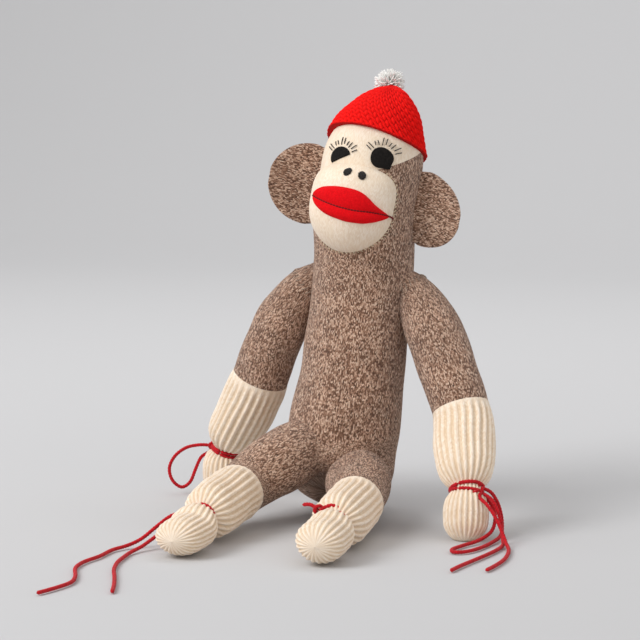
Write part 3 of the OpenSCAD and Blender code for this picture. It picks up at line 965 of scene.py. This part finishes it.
def ear_mesh(side):
    """Rows run from inside the head out to the rim, and each row goes round the ear's thickness."""
    name = "left" if side > 0 else "right"
    rows, columns = 34, 96
    points = []
    for i in range(rows + 1):
        share = i / rows
        x = EAR_ROOT + EAR_REACH * math.sin(share * math.pi / 2)
        out = (x - EAR_ROOT) / EAR_REACH
        # Half-height and half-thickness of the ear's section at this distance from the head.
        round_off = 1 - max(0.0, (x - 46) / 33.5) ** (2 if side > 0 else 2.5)
        tall = 34 * math.sqrt(max(0.0, round_off)) * (0.86 + 0.14 * min(1, out * 3))
        thick = (5.2 + 1.6 * math.sin(math.pi * min(1, out))) * math.sqrt(max(0.0, 1 - out ** 5))
        for k in range(columns):
            a = TAU * k / columns
            c, s = math.cos(a), math.sin(a)
            z = tall * math.copysign(abs(s) ** 0.9, s)
            y = thick * math.copysign(abs(c) ** 0.8, c)
            # The front is hollow, and the rim curls a little towards the face.
            cup = 6.5 * (1 - (z / 36) ** 2) * math.sin(math.pi * min(1.0, out * 0.95))
            y += cup * (1.0 if c < 0 else 0.75) + 4 - (7 if side > 0 else 19) * out ** 2
            # The left ear droops outwards, and the right one is square at its upper corner.
            if side > 0:
                z = 13 + z * (0.86 if z > 0 else 0.9) - 10 * out
            else:
                z = 13 + z * (1.0 if z > 0 else 0.93) + 1.5 * out
            points.append((side * x, y, z))
    points = np.array(points)
    points[:, 1] += lumps(points, 15, 1.0, 5.0 + side)
    faces = grid_faces(rows + 1, columns)
    last = rows * columns
    faces.append(tuple(range(last, last + columns)))
    if side < 0:
        faces = [tuple(reversed(f)) for f in faces]
    uvs = corner_uvs(faces, lambda i: (points[i][2] / 1.75 + 100, points[i][0] / MARL_ROW + 100))
    return add_mesh("ear_skin_" + name, on_head(points), faces, MARL, uvs)


make_ears()


# -------- cap and pompom

BRIM_Z = 51.5
CAP_TOP = 104.0


def brim_height(a, r):
    """Where the brim runs at angle a round the head, on a cap of radius r. It rides up over the left ear."""
    return BRIM_Z - 0.104 * r * math.cos(a) - 0.307 * r * math.sin(a) + 6 * max(0.0, math.cos(a - 0.35)) ** 3


def stitch_relief(u, v):
    """Height, 0 to 1, of V stitches counted by u round and v up."""
    arm = abs((u % 1) - 0.5)
    along = (v - arm * 1.6) % 1
    across = max(0.0, 1 - (abs(arm - 0.25) * 4) ** 2)
    return math.sqrt(across * max(0.0, 1 - (abs(along - 0.5) * 2) ** 2.4))


CAP_RADIUS = smooth_curve([(20, 43.8), (40, 43.4), (50, 42.0), (57, 39.9), (65, 37.2), (76, 32.6), (83, 28.2),
                           (90, 22.4), (96, 16.0), (101, 9.6), (CAP_TOP, 3.0)])


def make_cap():
    columns, rows = 480, 132
    knit_round, knit_up = 28, 11
    around = [TAU * k / columns for k in range(columns)]
    low = []
    for a in around:
        z = 45.0
        for _ in range(6):
            z = brim_height(a, float(CAP_RADIUS([z])[0]))
        low.append(z)
    points, relief = [], []
    for i in range(rows + 1):
        share = i / rows
        heights = np.array(low) + (CAP_TOP - np.array(low)) * share
        radii = CAP_RADIUS(heights)
        for k, a in enumerate(around):
            z, r = float(heights[k]), float(radii[k])
            h = stitch_relief(k / columns * knit_round + share * 5.0, share * knit_up)
            h *= min(1.0, share / 0.04)
            roll = 1.4 * math.exp(-((share - 0.02) / 0.025) ** 2)
            fold = 1.0 * math.sin(a * 3 + share * 4) * share + 0.5 * math.sin(a * 7 + share * 9)
            r += 2.1 * h * min(1, r / 14) + roll + fold * min(1, r / 20) - 1.2
            # The peak flops a little back and to one side.
            lean = max(0.0, (z - 55) / (CAP_TOP - 55)) ** 1.8
            points.append((r * math.cos(a) + 5.2 * lean - 0.8, r * math.sin(a) + 8.0 * lean, z))
            relief.append(h)
    outer = len(points)
    # The brim's edge turns in against the head.
    for k, a in enumerate(around):
        x, y, z = points[k]
        inner = min(math.hypot(x, y) - 1.5, head_radius(z) - 0.4)
        points.append((inner * math.cos(a), inner * math.sin(a), z - 0.4))
        relief.append(0.2)
    faces = grid_faces(rows + 1, columns)
    for k in range(columns):
        j = (k + 1) % columns
        faces.append((outer + k, outer + j, j, k))
    top = rows * columns
    faces.append(tuple(range(top, top + columns)))

    def knit_place(i):
        i = min(i, outer - 1)
        return (i % columns) / columns * knit_round * 2, (i // columns) / rows * knit_up * 2

    uvs = corner_uvs(faces, knit_place)
    piece = add_mesh("cap_knit", on_head(points), faces, CAP_RED, uvs, relief)
    dress(piece, "red_knit", "cap", body="head")


GOLDEN_ANGLE = 2.39996


def make_pompom():
    rng = random.Random(11)
    centre = np.array((-1.6, 16.0, 106.0))
    parts = []
    count = 420
    for i in range(count):
        z = 1 - 2 * (i + 0.5) / count
        a = i * GOLDEN_ANGLE
        flat = math.sqrt(1 - z * z)
        d = np.array((flat * math.cos(a), flat * math.sin(a), z))
        d = d + np.array([rng.uniform(-0.2, 0.2) for _ in range(3)])
        d /= np.linalg.norm(d)
        side = np.array([rng.uniform(-1, 1) for _ in range(3)]) * 1.2
        reach = 12.6 + rng.uniform(-1.6, 0.7)
        line = [centre + d * 1.5, centre + d * reach * 0.55 + side * 0.5, centre + d * reach + side]
        parts.append(yarn_mesh(spline(line, 3), 1.7, pitch=3.0, sides=6, step=2.2))
    points, faces = merge(parts)
    piece = add_mesh("pompom_yarn", on_head(points), faces, WHITE_YARN)
    dress(piece, "white_yarn", "pompom", body="head")


make_cap()
make_pompom()


# -------- limbs

def marl_part(name, path, end, radius, around, lump, seed):
    """The marl sleeve or thigh, from the path's start, where it closes inside the torso."""
    return skin(name, path, 0, end, radius, MARL, 96, MARL_ROW, around, close=(True, False), lump=lump,
                seed=seed)


def cuff_part(name, path, start, end, radius, lump, seed):
    """A ribbed cuff. It shares its lumps with the marl part before it, so that their edges meet."""
    return skin(name, path, start, end, radius, RIB, 0, RIB_ROW, 0, ribs=24, rib_mm=0.8, lump=lump, step=1.4,
                fade=10, seed=seed)


def end_part(name, path, start, radius, bumps):
    """A ribbed hand or foot, closed at the path's end."""
    return skin(name, path, start, path.length, radius, RIB, 0, RIB_ROW, 0, ribs=24, rib_mm=0.65,
                lump=(20, bumps), close=(False, True), step=1.1)


# -------- arms

HAND_END = {"left": np.array((121.0, -86.0, -2.0)), "right": np.array((-121.0, 47.0, -2.0))}


def yarn_ring(path, s, radius, tilt=0.12):
    """One turn of yarn round a limb."""
    p, t, n, b = (v[0] for v in path.at(np.array([s])))
    line = []
    for k in range(33):
        a = TAU * k / 32
        line.append(p + radius * (math.cos(a) * n + math.sin(a) * b + tilt * math.sin(a) * t))
    return line


def tie(name, path, s, radius, body, node, knots, stubs=()):
    """Two turns of yarn and the knots they are tied in, with any short ends."""
    parts = [yarn_mesh(yarn_ring(path, s - 1.4, radius), YARN),
             yarn_mesh(yarn_ring(path, s + 1.4, radius, tilt=-0.08), YARN)]
    for knot in knots:
        for scale, lean in ((3.4, 0.0), (2.9, 1.2)):
            loop = [knot + scale * np.array((math.cos(a + lean) * 0.8, math.sin(2 * a + lean) * 0.7,
                                             math.sin(a + lean))) for a in np.linspace(0, TAU * 0.93, 15)]
            parts.append(yarn_mesh(spline(loop, 2), YARN * 0.95))
    parts += [yarn_mesh(spline(stub, 3), YARN) for stub in stubs]
    points, faces = merge(parts)
    piece = add_mesh(name, points, faces, YARN_RED)
    dress(piece, "red_yarn", node, body=body)


def make_arm(side):
    sign = 1 if side == "left" else -1
    shoulder, elbow, wrist = (pivot(j + side) for j in ("shoulder_swing_", "elbow_bend_", "wrist_bend_"))
    end = HAND_END[side]
    path = Path([shoulder + np.array((-27 * sign, 1, 17)), shoulder + np.array((-2 * sign, 0, -1)),
                 (shoulder * 2 + elbow) / 3 + np.array((3.0 * sign, 0, 0)),
                 (shoulder + 2 * elbow) / 3 + np.array((2.5 * sign, 0, 1)),
                 elbow, (elbow + wrist) / 2, wrist, (wrist + end) / 2, end], (0, -1, 0))
    s_shoulder, s_elbow, s_wrist = path.near(shoulder), path.near(elbow), path.near(wrist)
    split = s_elbow - 5
    sleeve = smooth_curve([(0, 4.4), (6, 8.8), (s_shoulder - 12, 12.1), (s_shoulder, 15.6),
                           (s_shoulder + 20, 20.2), (s_shoulder + 45, 22.8),
                           (s_elbow - 25, 23.2), (split, 22.6)])
    lump, seed = (26, 1.3), 28 - sign
    piece = marl_part("sleeve_skin_" + side, path, split, sleeve, 82, lump, seed)
    dress_limb(piece, "marl_knit", "sleeve", side, 0.75)
    bend(piece, "shoulder_" + side, "arm_" + side, shoulder, towards(shoulder, elbow), 4, 22)

    cuff = smooth_curve([(split - 2, 22.9), (split + 8, 23.3), (s_elbow + 20, 23.6), (s_wrist - 22, 22.4),
                         (s_wrist - 12, 20), (s_wrist - 5, 15.5), (s_wrist - 1, 11.6), (s_wrist, 11.3)])
    piece = cuff_part("arm_cuff_rib_" + side, path, split - 2, s_wrist, cuff, lump, seed)
    dress_limb(piece, "cream_rib", "arm_cuff", side, 0.75)
    bend(piece, "arm_" + side, "forearm_" + side, elbow, towards(elbow, wrist), 4, 20)

    hand_end = path.length
    hand = smooth_curve([(s_wrist, 11.3), (s_wrist + 4, 12.6), (s_wrist + 9, 15.6), (s_wrist + 18, 17.2),
                         (hand_end - 14, 16.4), (hand_end - 6, 12.5), (hand_end - 2, 7.5), (hand_end, 0.3)])
    piece = end_part("hand_rib_" + side, path, s_wrist, hand, 0.8)
    dress_limb(piece, "cream_rib", "hand", side, 0.8)
    bend(piece, "forearm_" + side, "hand_" + side, wrist, towards(wrist, end), 0.5, 8)
    route = CORDS["wrist_left_loop" if side == "left" else "wrist_right_loop"][2]
    knots = [np.array(route[0]) - np.array((2.0 * sign, 1.5, 0.5))]
    if side == "left":
        knots.append(knots[0] + np.array((-0.5, -6.5, -3.5)))
    tie("wrist_yarn_" + side, path, s_wrist + 1.5, 12.4, "hand_" + side, "wrist_tie_" + side, knots)
    seam = []
    p, t, n, b = (v[0] for v in path.at(np.array([s_shoulder - 3.0])))
    r = float(sleeve([s_shoulder - 3.0])[0])
    for k in range(22):
        a = TAU * k / 22
        out = math.cos(a) * n + math.sin(a) * b
        ahead = math.cos(a + 0.18) * n + math.sin(a + 0.18) * b
        seam.append([p + out * (r - 0.8) - t * 2.6, p + (out + ahead) / 2 * (r + 0.9),
                     p + ahead * (r + 0.7) + t * 2.6])
    threads("shoulder_stitches_" + side, seam, 0.9, MARL_THREAD, "shoulder_" + side, "marl_knit",
            "shoulder_seam_" + side)


# -------- legs

FOOT_END = {"left": np.array((40.0, -216.0, 20.0)), "right": np.array((-68.0, -219.0, 20.0))}
# The thighs leave the torso above the seat and slope down to the feet, the right one from higher up.
LEG_RISES = {"left": (12, 9, 6, 1, 0, 0, 0, 0), "right": (40, 32, 20, 7, 3, 0, 0, 0)}
# How far past the knee the cream cuff starts.
CUFF_STARTS = {"left": 1, "right": 6}
# How much of a foot's height is left where it lies on the seat.
FOOT_PRESSED = {"left": 0.84, "right": 0.74}


def make_leg(side):
    sign = 1 if side == "left" else -1
    hip, knee, ankle = (pivot(j + side) for j in ("hip_swing_", "knee_bend_", "ankle_bend_"))
    end = FOOT_END[side]
    out = towards(hip, knee)
    places = (hip - out * 20, hip, (hip + knee) / 2, knee, (knee + ankle) / 2, ankle, (ankle + end) / 2, end)
    path = Path([place + np.array((0, 0, rise)) for place, rise in zip(places, LEG_RISES[side])], (0, 0, 1))
    s_hip, s_knee, s_ankle = path.near(hip), path.near(knee), path.near(ankle)
    split = s_knee + CUFF_STARTS[side]
    thigh = smooth_curve([(0, 8), (4, 15), (10, 20.5), (s_hip, 25.4), (s_hip + 14, 25.6), (s_hip + 32, 23.4),
                          (split, 21.2)])
    lump, seed = (24, 1.4), sign
    piece = marl_part("thigh_skin_" + side, path, split, thigh, 86, lump, seed)
    rest_on_floor(piece)
    dress_limb(piece, "marl_knit", "thigh", side, 0.75)
    bend(piece, "torso", "thigh_" + side, hip, out, 14, 44)

    cuff = smooth_curve([(split - 2, 21.5), (split + 8, 21.3), (s_knee + 18, 21.2), (s_ankle - 20, 20.6),
                         (s_ankle - 10, 18.8), (s_ankle - 4, 14), (s_ankle - 1, 9.6), (s_ankle, 9.3)])
    piece = cuff_part("leg_cuff_rib_" + side, path, split - 2, s_ankle, cuff, lump, seed)
    rest_on_floor(piece)
    dress_limb(piece, "cream_rib", "leg_cuff", side, 0.7)
    bend(piece, "thigh_" + side, "shin_" + side, knee, towards(knee, ankle), 4, 20)

    foot_end = path.length
    foot = smooth_curve([(s_ankle, 9.3), (s_ankle + 3, 12), (s_ankle + 8, 16.2), (s_ankle + 17, 18.8),
                         (foot_end - 17, 18.6), (foot_end - 8, 15.5), (foot_end - 2.5, 8.5), (foot_end, 0.3)])
    piece = end_part("foot_rib_" + side, path, s_ankle, foot, 0.9)
    press(piece, ankle, towards(ankle, end), FOOT_PRESSED[side])
    rest_on_floor(piece)
    dress_limb(piece, "cream_rib", "foot", side, 0.8)
    bend(piece, "shin_" + side, "foot_" + side, ankle, towards(ankle, end), 0.5, 8)
    stubs = []
    if side == "right":
        knots = [np.array(CORDS["ankle_right_tail_a"][2][0]) + np.array((2.5, 1, -1))]
    else:
        stubs = [[(27, -161, 33), (20, -159, 36), (13, -156, 35)],
                 [(28, -161, 33), (36, -160, 36.5), (43, -159, 34.5)]]
        knots = [ankle + np.array((-13.0, 2.0, 9.5))]
    tie("ankle_yarn_" + side, path, s_ankle + 1.0, 9.6, "foot_" + side, "ankle_tie_" + side, knots, stubs)


def press(piece, start, out, share):
    """Flattens a foot towards the surface, more and more over 20 mm from its start."""
    for vertex in piece.data.vertices:
        along = (np.array(vertex.co) / MM - start) @ out
        amount = min(1.0, max(0.0, along / 20))
        vertex.co.z *= 1 - (1 - share) * amount
    piece.data.update()


def rest_on_floor(piece):
    """Flattens what would sink into the surface."""
    for vertex in piece.data.vertices:
        vertex.co.z = max(vertex.co.z, FLOOR_Z * MM)
    piece.data.update()


for side_name in SIDES:
    make_arm(side_name)
    make_leg(side_name)


# -------- tail

TAIL_END = np.array((-62.0, 206.0, 11.5))


def make_tail():
    root = pivot("tail_swing")
    out = towards(root, TAIL_END)
    path = Path([root - out * 14 + np.array((0, 0, 3)), root, root + (TAIL_END - root) * 0.35,
                 root + (TAIL_END - root) * 0.7, TAIL_END], (0, 0, 1))
    s_root, length = path.near(root), path.length
    seam = s_root + (length - s_root) * 0.72
    radius = smooth_curve([(0, 8), (6, 12.5), (s_root, 12), (s_root + 30, 11), (seam, 10.4),
                           (length - 20, 9.2), (length - 8, 7.5), (length - 2, 4), (length, 1)])
    piece = skin("tail_skin", path, 0, seam, radius, MARL, 56, MARL_ROW, 38, close=(True, False),
                 lump=(18, 1.0))
    rest_on_floor(piece)
    dress(piece, "marl_knit", "tail_sock", "tail_stuffing", fill=0.7)
    bend(piece, "torso", "tail", root, out, 4, 22)
    piece = skin("tail_tip_skin", path, seam - 0.5, length, radius, CREAM, 56, 1.7, 36, close=(False, True),
                 lump=(18, 1.0))
    rest_on_floor(piece)
    dress(piece, "cream_knit", "tail_tip", fill=0.7, body="tail")


make_tail()


# -------- floor and light

def make_stage():
    """A seamless pale sweep behind and under the doll, and soft light from the left."""
    n = Nodes("sweep")
    n.finish((0.585, 0.585, 0.595, 1), None, 0.9, 0.0)
    profile = [(-5.0, 0.0), (2.0, 0.0)]
    profile += [(2.0 + 2.5 * math.sin(a), 2.5 - 2.5 * math.cos(a)) for a in np.linspace(0.1, math.pi / 2, 14)]
    profile.append((4.5, 6.0))
    points = [(x * 1000, y * 1000, z * 1000 - 0.2) for y, z in profile for x in (-6.0, 6.0)]
    sweep = add_mesh("sweep", points, grid_faces(len(profile), 2, closed=False), n.material)

    world = bpy.data.worlds.new("studio")
    world.use_nodes = True
    world.node_tree.nodes["Background"].inputs[0].default_value = (0.97, 0.96, 0.95, 1)
    world.node_tree.nodes["Background"].inputs[1].default_value = 0.62
    bpy.context.scene.world = world
    for name, place, size, power in (("key", (-1.5, -1.7, 1.9), 1.6, 54), ("fill", (1.9, -1.5, 1.2), 2.0, 5),
                                     ("wall", (0.0, 0.9, 2.6), 2.5, 40)):
        lamp = bpy.data.lights.new(name, "AREA")
        lamp.energy = power
        lamp.size = size
        light = bpy.data.objects.new(name, lamp)
        light.location = place
        aim = Vector((0, 3.6, 0.9) if name == "wall" else (0, 0, 0.15)) - light.location
        light.rotation_euler = aim.to_track_quat("-Z", "Y").to_euler()
        bpy.context.scene.collection.objects.link(light)
    bpy.context.scene.view_settings.view_transform = "Standard"


make_stage()
bpy.context.view_layer.update()
